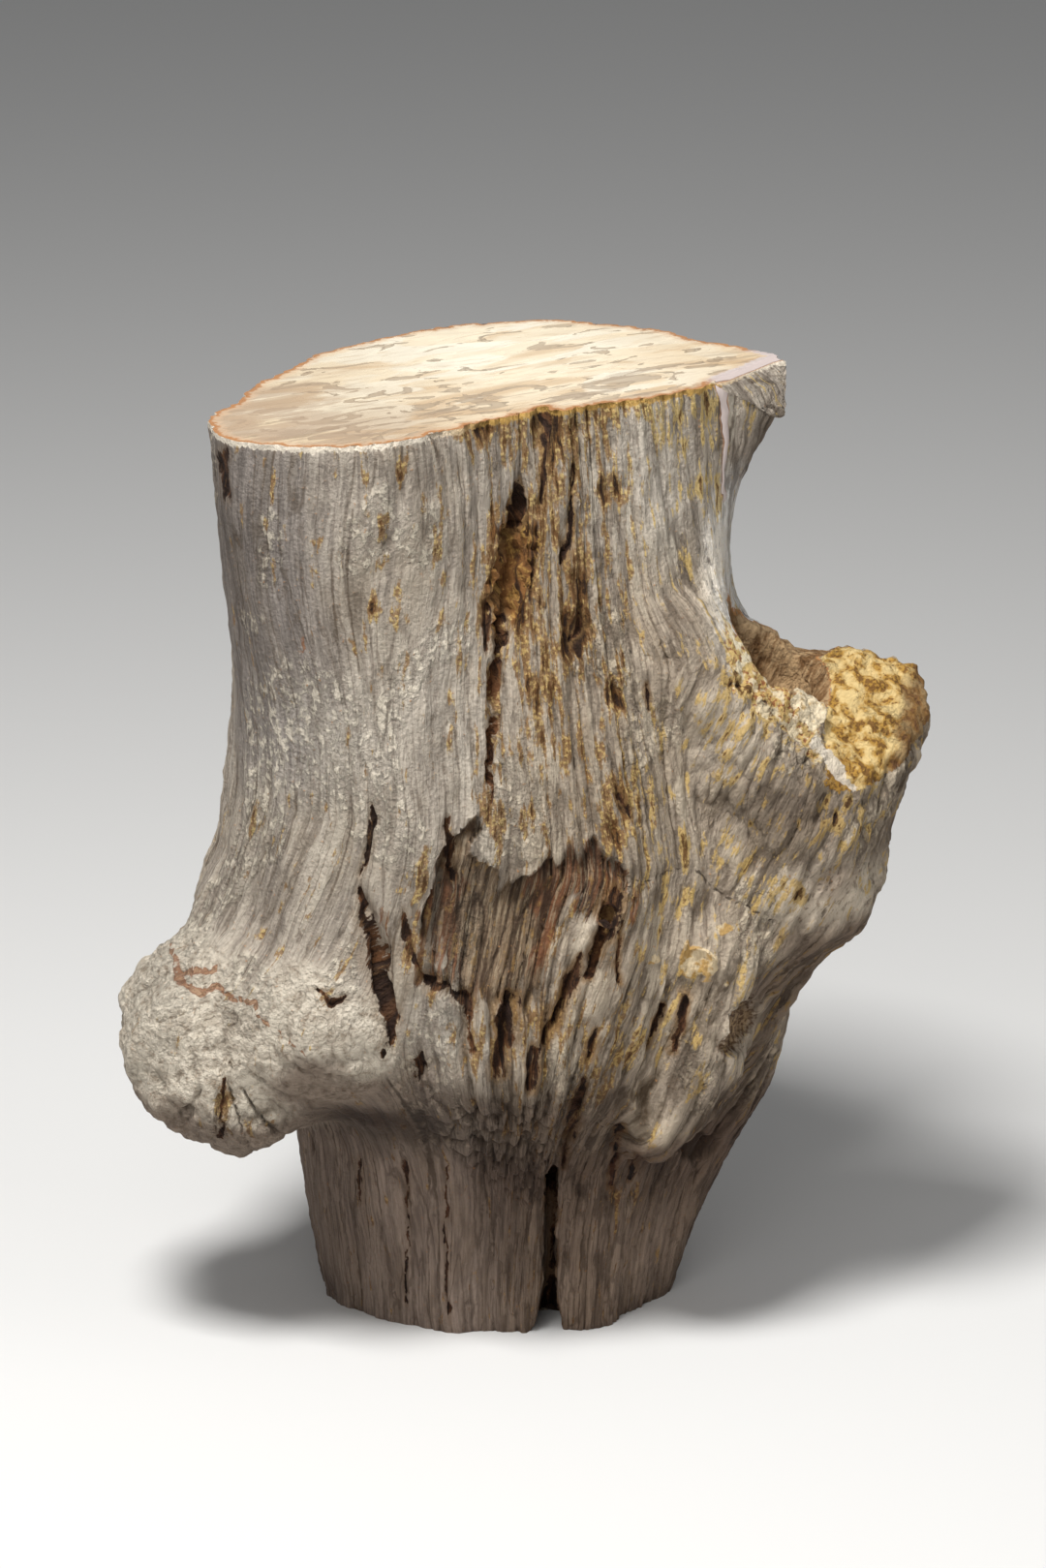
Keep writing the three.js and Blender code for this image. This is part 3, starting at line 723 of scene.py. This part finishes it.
# Noise drawn out along the grain, on the trunk or on the branch.
wood_sockets = {"Trunk": "Vector", "Branch": "Vector", "Share": "Float", "Density": "Vector"}
streaks, ends, out = group(
    "streaks_along_grain", wood_sockets | {"Detail": "Float"}, {"Value": "Float"}
)
values = []
for wood in ("Trunk", "Branch"):
    inputs = {0: ends.outputs[wood], 1: ends.outputs["Density"]}
    stretched = add(streaks, "ShaderNodeVectorMath", inputs, operation="MULTIPLY").outputs[0]
    inputs = {"Vector": stretched, "Scale": 1.0, "Detail": ends.outputs["Detail"]}
    inputs["Roughness"] = 0.64
    values.append(add(streaks, "ShaderNodeTexNoise", inputs).outputs[0])
both = add(streaks, "ShaderNodeMix", {0: ends.outputs["Share"], 2: values[0], 3: values[1]})
streaks.links.new(both.outputs[0], out.inputs["Value"])

# Long flakes lying along the grain: how far each spot is from the middle of its flake, and
# the flake's tone.
flakes, ends, out = group("flakes_along_grain", wood_sockets, {"Gap": "Float", "Tone": "Float"})
gaps, shades = [], []
for wood in ("Trunk", "Branch"):
    inputs = {0: ends.outputs[wood], 1: ends.outputs["Density"]}
    stretched = add(flakes, "ShaderNodeVectorMath", inputs, operation="MULTIPLY").outputs[0]
    inputs = {"Vector": stretched, "Scale": 1.7, "Detail": 3.0}
    inputs = {0: stretched, 1: add(flakes, "ShaderNodeTexNoise", inputs).outputs["Color"]}
    moved = add(flakes, "ShaderNodeVectorMath", inputs, operation="ADD").outputs[0]
    cells = add(flakes, "ShaderNodeTexVoronoi", {"Vector": moved, "Scale": 1.0}).outputs
    gaps.append(cells["Distance"])
    shades.append(add(flakes, "ShaderNodeSeparateColor", {0: cells["Color"]}).outputs[0])
for name, pair in (("Gap", gaps), ("Tone", shades)):
    both = add(flakes, "ShaderNodeMix", {0: ends.outputs["Share"], 2: pair[0], 3: pair[1]})
    flakes.links.new(both.outputs[0], out.inputs[name])

skin = bpy.data.materials.new("weathered_stone")
skin.use_nodes = True
tree = skin.node_tree
shader = tree.nodes["Principled BSDF"]
spot = add(tree, "ShaderNodeTexCoord").outputs["Object"]
grain_at = {"Trunk": kept("trunk_grain", "Vector"), "Branch": kept("branch_grain", "Vector")}
grain_at["Share"] = kept("branch")


def grain(density, detail):
    """Streaks with this many per metre across, round and along the grain."""
    inputs = grain_at | {"Density": density, "Detail": detail}
    return add(tree, "ShaderNodeGroup", inputs, node_tree=streaks).outputs[0]


inputs = grain_at | {"Density": (150, 150, 38)}
flake = add(tree, "ShaderNodeGroup", inputs, node_tree=flakes).outputs
fibres = grain((800, 800, 55), 5)
splinters = grain((330, 330, 22), 6)
patches = grain((60, 60, 16), 5)
flecks = grain((260, 260, 80), 6)
fray = grain((350, 350, 120), 5)
shreds = grain((420, 420, 170), 6)
crumb = cloud(480, 6)
dust = cloud(70, 7)
relief_height = kept("relief")
right_side = kept("right_side")
on_burl = kept("burl")
on_facet = kept("left_facet")
off_burl = band(on_burl, 0.6, 0.1)

# Bare stone, greyer on the left, with fine lines along the fibres.
tone = times(plus(fibres, splinters), 0.5)
colour = laid((0.25, 0.21, 0.17), band(tone, 0.4, 0.58), (0.47, 0.405, 0.33))
colour = laid(colour, band(patches, 0.44, 0.64, 0.5), (0.37, 0.305, 0.225))
colour = laid(colour, band(splinters, 0.57, 0.68, 0.6), (0.58, 0.51, 0.41))
flaky = times(plus(times(right_side, 0.6), 0.4), band(on_facet, 1.0, 0.0), off_burl)
colour = laid(colour, times(band(flake["Tone"], 0.75, 1.0), flaky, 0.5), (0.64, 0.57, 0.46))
colour = laid(colour, times(band(flake["Tone"], 0.25, 0.0), flaky, 0.25), (0.2, 0.16, 0.12))
# The left facet, turned away from the key light, is painted darker and bluer: painted shade.
colour = laid(colour, times(on_facet, 0.85), (0.56, 0.57, 0.63), "MULTIPLY")
# The bare waist is painted near white: pale stone with a painted highlight where light catches it.
colour = laid(colour, times(kept("waist"), 0.85), (0.9, 0.89, 0.86))

# Chalk lies in shreds. What stands proud is paler, partly chalk and partly painted highlight, and
# what lies deep is darker, partly dirt and partly painted shade.
proud = band(relief_height, 0.2, 2.2, 0.45)
colour = laid(colour, proud, (0.58, 0.51, 0.41))
pebbles = cloud(230, 7)
frosting = band(plus(kept("chalky"), times(patches, 0.5)), 0.55, 0.9)
chalk = times(band(plus(shreds, pebbles), 0.98, 1.12), frosting)
colour = laid(colour, times(chalk, 0.55), (0.8, 0.71, 0.56))
# On the burl the pebbles' tops, which the bump raises, are painted lighter as painted highlight,
# and the low gaps between them darker as painted shade.
lit = band(plus(pebbles, times(dust, 0.5)), 0.64, 0.84)
crust = laid((0.49, 0.42, 0.33), lit, (0.7, 0.62, 0.5))
crust = laid(crust, band(pebbles, 0.4, 0.33, 0.6), (0.24, 0.18, 0.12))
colour = laid(colour, times(on_burl, 0.9), crust)
# Painted shade with dirt: low places and crumbs are darkened towards dirt brown.
crease = band(plus(relief_height, times(crumb, 1.5)), -0.2, -2.8, 0.7)
colour = laid(colour, crease, (0.13, 0.098, 0.066))


def line(value, reach, share):
    """A ragged line where a signed value crosses 0, fading out at the given reach."""
    away = add(tree, "ShaderNodeMath", {0: value}, operation="ABSOLUTE").outputs[0]
    return band(frayed_by(away, fray, 2.5 * reach), reach, 0.2 * reach, share)


dirt = (0.11, 0.08, 0.055)
dark_brown = (0.035, 0.016, 0.007)
broken_up = band(patches, 0.42, 0.56)
colour = laid(colour, times(line(kept("furrow"), 0.05, 0.8), off_burl, broken_up), dirt)
colour = laid(colour, times(line(kept("fine_furrow"), 0.07, 0.5), off_burl), dirt)
colour = laid(colour, times(line(kept("wrinkle"), 0.06, 0.3), on_burl), dirt)
colour = laid(colour, times(line(kept("scale_gap"), 0.12, 0.7), kept("crinkled")), dirt)
gap_edge = frayed_by(flake["Gap"], crumb, 0.25)
colour = laid(colour, times(band(gap_edge, 0.55, 0.74, 0.6), flaky), dirt)
flap_edge = ragged("flap_gap", fray, 0.5, 0.1, -0.04, 0.8)
colour = laid(colour, times(flap_edge, kept("flaps")), (0.07, 0.045, 0.025))
# Lighter patches: partly painted light where light catches the waist, partly pale stone.
colour = laid(colour, times(kept("painted_light_and_pale_tone"), band(shreds, 0.35, 0.5)), (0.88, 0.8, 0.68))

# Stains turn from ochre to brown to nearly black as they thicken, in streaks.
soil = frayed_by(frayed_by(kept("soil"), flecks, 2.0), splinters, 1.6)
golden = band(plus(crumb, times(kept("yellowing"), 0.2)), 0.47, 0.65)
ochre = laid((0.24, 0.13, 0.045), golden, (0.6, 0.43, 0.16))
colour = laid(colour, band(soil, 0.31, 0.47, 0.85), ochre)
colour = laid(colour, band(soil, 0.6, 0.76, 0.9), (0.12, 0.052, 0.014))
crevice = band(soil, 0.86, 1.0)
colour = laid(colour, crevice, dark_brown)

# The torn face, the cavity, the knob and the pits.
torn_edge = frayed_by(frayed_by(kept("torn_edge"), flecks, 18.0), splinters, 45.0)
russet = laid((0.045, 0.018, 0.007), band(splinters, 0.4, 0.56), (0.2, 0.08, 0.034))
olive = laid((0.06, 0.035, 0.018), band(splinters, 0.42, 0.58), (0.25, 0.175, 0.11))
russet = laid(olive, ragged("redness", patches, 3.0, 0.25, 0.6), russet)
russet = laid(russet, band(fibres, 0.5, 0.6, 0.6), (0.42, 0.335, 0.225))
russet = laid(russet, band(patches, 0.52, 0.6, 0.6), (0.07, 0.032, 0.014))
specks = plus(flecks, times(crumb, 0.4))
russet = laid(russet, band(specks, 0.76, 0.84, 0.6), (0.3, 0.18, 0.06))
russet = laid(russet, line(kept("tear"), 0.1, 0.8), dark_brown)
colour = laid(colour, band(torn_edge, -1.5, 2.5, 0.88), russet)
# Painted shadow: dark brown on the torn wood just under the stepped edge, where the overhang's
# shade falls.
colour = laid(colour, times(kept("overhang"), band(flecks, 0.35, 0.6), 0.9), dark_brown)
cavity_brown = laid((0.05, 0.02, 0.007), band(splinters, 0.4, 0.54), (0.2, 0.09, 0.026))
cavity_brown = laid(cavity_brown, band(specks, 0.7, 0.78, 0.85), (0.38, 0.22, 0.06))
cavity_brown = laid(cavity_brown, line(kept("fine_furrow"), 0.12, 0.85), (0.03, 0.012, 0.005))
colour = laid(colour, ragged("cavity_edge", flecks, 2.0, 1.15, 0.8), cavity_brown)
mottle = cloud(150, 5)
knob_colour = laid((0.5, 0.31, 0.09), band(mottle, 0.46, 0.56), (0.72, 0.6, 0.4))
colour = laid(colour, ragged("knob", flecks, 1.6, 0.35, 0.6, 0.8), knob_colour)
pit_brown = laid((0.09, 0.042, 0.018), band(crumb, 0.4, 0.6), (0.36, 0.25, 0.14))
colour = laid(colour, ragged("pit_edge", crumb, 1.3, 1.1, 0.7, 0.85), pit_brown)
colour = laid(colour, times(kept("small_pit"), 0.7), (0.09, 0.06, 0.035))

# The broken branch: a brown hollow and a yellow face.
hollow_brown = laid((0.22, 0.12, 0.05), band(plus(splinters, dust), 0.85, 1.1), (0.52, 0.36, 0.2))
hollow_edge = frayed_by(kept("hollow"), crumb, 1.4)
colour = laid(colour, band(hollow_edge, 0.2, 0.45), (0.5, 0.25, 0.1))
colour = laid(colour, band(hollow_edge, 0.5, 0.7), hollow_brown)
blotch = cloud(130, 8, warp=0.3)
yellow = laid((0.5, 0.29, 0.06), band(blotch, 0.42, 0.6), (0.8, 0.62, 0.3))
yellow = laid(yellow, band(plus(blotch, times(crumb, 0.7)), 0.8, 0.72, 0.8), (0.17, 0.08, 0.025))
yellow = laid(yellow, ragged("outer", dust, 1.2, 0.35, 0.8, 0.7), (0.14, 0.065, 0.03))
colour = laid(colour, ragged("broken", crumb, 1.4, 0.4, 0.6), yellow)
fringe = laid((0.3, 0.12, 0.045), band(crumb, 0.4, 0.5), (0.6, 0.42, 0.16))
fringe = laid(fringe, band(mottle, 0.5, 0.58), (0.8, 0.7, 0.5))
colour = laid(colour, ragged("fringe_gap", flecks, 6.0, 1.7, 0.9, 0.9), fringe)
colour = laid(colour, ragged("slab_gap", crumb, 1.0, 1.2, 0.9, 0.9), (0.84, 0.78, 0.68))
cream = laid((0.66, 0.48, 0.24), band(mottle, 0.36, 0.5), (0.9, 0.8, 0.6))
colour = laid(colour, ragged("rim_lump", crumb, 0.8, 0.3, 0.5, 0.95), cream)

# Clefts, cracks and the tan vein.
cleft_edge = frayed_by(frayed_by(kept("cleft_gap"), flecks, 3.6), splinters, 2.8)
cleft_edge = frayed_by(cleft_edge, crumb, 1.0)
halo = times(band(cleft_edge, 3.0, 1.1, 0.7), plus(times(right_side, 0.7), 0.3))
colour = laid(colour, halo, (0.24, 0.14, 0.055))
inside = laid((0.03, 0.013, 0.006), band(splinters, 0.42, 0.6), (0.14, 0.06, 0.024))
inside = laid(inside, band(fibres, 0.56, 0.64, 0.5), (0.24, 0.13, 0.055))
colour = laid(colour, band(cleft_edge, 1.1, 0.8), inside)
# Painted shade: the middle of each cleft is darkened nearly black, as the shade deep inside it.
deep = band(cleft_edge, 0.5, 0.1)
colour = laid(colour, times(deep, 0.6), (0.025, 0.011, 0.006))
crack = ragged("crack_gap", crumb, 0.8, 1.4, 0.8)
colour = laid(colour, times(crack, 0.8), (0.05, 0.035, 0.025))
vein_edge = frayed_by(kept("vein_gap"), crumb, 1.2)
tan = laid((0.26, 0.11, 0.05), band(vein_edge, 0.9, 0.4), (0.38, 0.21, 0.11))
colour = laid(colour, band(vein_edge, 1.3, 0.9, 0.85), tan)

# Broad tones with painted light and shade, the foot painted darker as painted shade, painted shade
# under overhangs, and the edges of the polish.
colour = laid(colour, times(kept("warmth"), 0.8), (0.92, 0.86, 0.78), "MULTIPLY")
# Darker patches, mostly painted shade.
colour = laid(colour, kept("shade"), (0.22, 0.17, 0.14), "MULTIPLY")
# The foot is painted darker: painted shade low on the stump, far from the light above.
colour = laid(colour, kept("foot"), (0.62, 0.54, 0.52), "MULTIPLY")
# Painted shade on what faces down, under overhangs.
colour = laid(colour, kept("painted_shade_underneath"), (0.4, 0.35, 0.33), "MULTIPLY")
rim_colour = laid((0.72, 0.64, 0.52), kept("golden_rim"), (0.5, 0.3, 0.08))
colour = laid(colour, ragged("rim_gap", crumb, 5.0, 3.2, 2.2, 0.9), rim_colour)
flute_edge = frayed_by(kept("flute_gap"), dust, 0.4)
colour = laid(colour, band(flute_edge, 1.4, 1.15, 0.8), (0.5, 0.26, 0.14))
flute = band(flute_edge, 1.15, 1.0)
colour = laid(colour, flute, (0.5, 0.42, 0.39))
tree.links.new(colour, shader.inputs["Base Color"])
dull = band(flute, 1.0, 0.0, 0.55)
tree.links.new(plus(dull, 0.33), shader.inputs["Roughness"])

# The fine relief, which the mesh is too coarse for. The polished flute has none.
height = plus(times(fibres, 0.8), times(splinters, 1.4))
height = plus(height, times(plus(flecks, shreds), plus(times(right_side, 0.5), 0.4)))
height = plus(height, times(crumb, plus(times(on_burl, 1.6), 0.9)))
height = plus(height, times(pebbles, on_burl, 1.4))
height = plus(height, times(plus(chalk, times(plus(pebbles, crumb), frosting)), 0.5))
height = plus(height, times(plus(crevice, deep), -0.7))
height = plus(height, times(flake["Gap"], flaky, -1.3))
height = times(height, band(flute, 1.0, 0.0))
bump = add(tree, "ShaderNodeBump", {"Height": height, "Strength": 1.0, "Distance": 0.0016})
tree.links.new(bump.outputs[0], shader.inputs["Normal"])
shader.inputs["Specular IOR Level"].default_value = 0.3

# ------------------------------------------------------------------ polished top
# The top was sawn and polished to a satin gloss. Its silica is cream, with tan swirls and
# grey-brown blots beside the front, and a thin orange line runs round its rim.
FRONT_EDGE_TURN = math.radians(-22)

polish = bpy.data.materials.new("polished_stone")
polish.use_nodes = True
tree = polish.node_tree
shader = tree.nodes["Principled BSDF"]
spot = add(tree, "ShaderNodeTexCoord").outputs["Object"]
inputs = {"Vector": spot, "Angle": FRONT_EDGE_TURN}
turned = add(tree, "ShaderNodeVectorRotate", inputs).outputs[0]
parts = add(tree, "ShaderNodeSeparateXYZ", {0: turned}).outputs
across, along = parts["Y"], parts["X"]


def veins(scale, density, detail, warp):
    """Swirled noise on the top, drawn out along the front edge."""
    drawn = add(tree, "ShaderNodeVectorMath", {0: turned, 1: density}, operation="MULTIPLY")
    return cloud(scale, detail, drawn.outputs[0], warp)


swirls = veins(13, (0.6, 1.3, 1), 5, 1.8)
clouds = veins(24, (0.6, 1.3, 1), 5, 1.2)
blots = veins(62, (0.6, 1.1, 1), 5, 1.2)
bands = veins(30, (0.35, 1.8, 1), 6, 1.8)
fine = veins(170, (0.35, 1.5, 1), 3, 0.6)
frost = cloud(300, 4)

near_front = band(across, 0.015, -0.06)
colour = laid((0.88, 0.76, 0.56), band(swirls, 0.47, 0.6), (0.74, 0.57, 0.37))
colour = laid(colour, band(clouds, 0.5, 0.57, 0.85), (0.93, 0.86, 0.7))
colour = laid(colour, band(fine, 0.54, 0.68, 0.35), (0.55, 0.4, 0.24))
colour = laid(colour, times(near_front, 0.35), (0.78, 0.7, 0.62), "MULTIPLY")
blot = plus(plus(blots, times(near_front, 0.03)), times(swirls, 0.3))
colour = laid(colour, band(blot, 0.735, 0.75, 0.75), (0.42, 0.33, 0.23))
outline = times(band(blot, 0.725, 0.738), band(blot, 0.765, 0.75))
colour = laid(colour, times(outline, 0.6), (0.24, 0.18, 0.12))
streak = band(frayed_by(bands, fine, 0.3), 0.46, 0.38)
streak = times(plus(times(near_front, 0.9), 0.1), streak)
colour = laid(colour, times(streak, 0.75), (0.34, 0.25, 0.17))
colour = laid(colour, band(along, 0.02, -0.12, 0.9), (0.76, 0.7, 0.63), "MULTIPLY")
colour = laid(colour, band(along, 0.03, 0.11, 0.8), (0.84, 0.76, 0.66), "MULTIPLY")
tip = times(band(along, -0.04, -0.15), band(frayed_by(swirls, fine, 0.5), 0.42, 0.5))
colour = laid(colour, times(tip, 0.7), (0.42, 0.3, 0.2))
rim_at = frayed_by(kept("rim_distance"), frost, 0.008)
colour = laid(colour, band(rim_at, 0.008, 0.0035, 0.5), (0.66, 0.44, 0.27))
colour = laid(colour, band(rim_at, 0.0035, 0.0015, 0.9), (0.42, 0.17, 0.045))
lilac = times(band(along, 0.07, 0.08), band(across, -0.01, -0.02), band(rim_at, 0.006, 0.003))
colour = laid(colour, times(lilac, 0.8), (0.62, 0.56, 0.55))
tree.links.new(colour, shader.inputs["Base Color"])
tree.links.new(plus(band(blots, 0.3, 0.7, 0.2), 0.2), shader.inputs["Roughness"])
ripple = add(tree, "ShaderNodeBump", {"Height": swirls, "Strength": 0.15, "Distance": 0.0006})
tree.links.new(ripple.outputs[0], shader.inputs["Normal"])
shader.inputs["Coat Roughness"].default_value = 0.12
shader.inputs["Coat Weight"].default_value = 0.35

# ------------------------------------------------------------------ sawn base
# The foot was sawn straight across so that the stump stands level, and left matt. Its
# silica is grey-brown, with faint arcs from the saw's blade.
sawn = bpy.data.materials.new("sawn_stone")
sawn.use_nodes = True
tree = sawn.node_tree
shader = tree.nodes["Principled BSDF"]
spot = add(tree, "ShaderNodeTexCoord").outputs["Object"]
inputs = {"Vector": spot, "Scale": 60, "Distortion": 1.5, "Detail": 2}
arcs = add(tree, "ShaderNodeTexWave", inputs, wave_type="RINGS").outputs[1]
colour = laid((0.3, 0.23, 0.17), band(cloud(24, 6), 0.38, 0.62), (0.52, 0.44, 0.34))
tree.links.new(colour, shader.inputs["Base Color"])
ripple = add(tree, "ShaderNodeBump", {"Height": arcs, "Strength": 0.3, "Distance": 0.0004})
tree.links.new(ripple.outputs[0], shader.inputs["Normal"])
shader.inputs["Roughness"].default_value = 0.75

for material in (skin, polish, sawn):
    mesh.materials.append(material)
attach(stone, "root")
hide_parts("petrified_stump")

# ------------------------------------------------------------------ floor, lights, camera
# The stump stands on a plain pale floor, under soft studio lights:
# a large one overhead and towards the front, and weaker ones from the front and the right.
bpy.ops.object.select_all(action="DESELECT")
bpy.ops.mesh.primitive_plane_add(size=16)
floor = bpy.context.object
floor.name = "floor"
paint = bpy.data.materials.new("pale_floor")
paint.use_nodes = True
shader = paint.node_tree.nodes["Principled BSDF"]
shader.inputs["Base Color"].default_value = (0.72, 0.71, 0.69, 1)
shader.inputs["Roughness"].default_value = 0.9
floor.data.materials.append(paint)

AIM = Vector((0, -0.0131, 0.2773))


def soft_light(name, place, size, power):
    """A square area light at a place, turned to the stump."""
    light = bpy.data.lights.new(name, "AREA")
    light.size = size
    light.energy = power
    lamp = bpy.data.objects.new(name, light)
    bpy.context.collection.objects.link(lamp)
    lamp.location = place
    lamp.rotation_euler = (AIM - lamp.location).to_track_quat("-Z", "Y").to_euler()


soft_light("key", (-0.45, -0.8, 2.3), 0.6, 66)
soft_light("front", (-0.6, -2.3, 1.5), 1.4, 14)
soft_light("side", (2.0, -0.6, 1.5), 1.2, 7)
world = bpy.data.worlds.new("studio")
world.use_nodes = True
glow = world.node_tree.nodes["Background"]
glow.inputs["Color"].default_value = (0.95, 0.97, 1, 1)
glow.inputs["Strength"].default_value = 0.18
bpy.context.scene.world = world
bpy.context.scene.view_settings.view_transform = "Standard"

CAMERA_DISTANCE = 2.6606
CAMERA_HEIGHT_ANGLE = math.radians(18)
lens = bpy.data.cameras.new("camera")
lens.sensor_fit = "VERTICAL"
lens.sensor_height = 36
lens.lens = 120
camera = bpy.data.objects.new("camera", lens)
bpy.context.collection.objects.link(camera)
camera.location = AIM + CAMERA_DISTANCE * Vector(
    (0, -math.cos(CAMERA_HEIGHT_ANGLE), math.sin(CAMERA_HEIGHT_ANGLE))
)
camera.rotation_euler = (math.radians(90) - CAMERA_HEIGHT_ANGLE, 0, 0)
bpy.context.scene.camera = camera
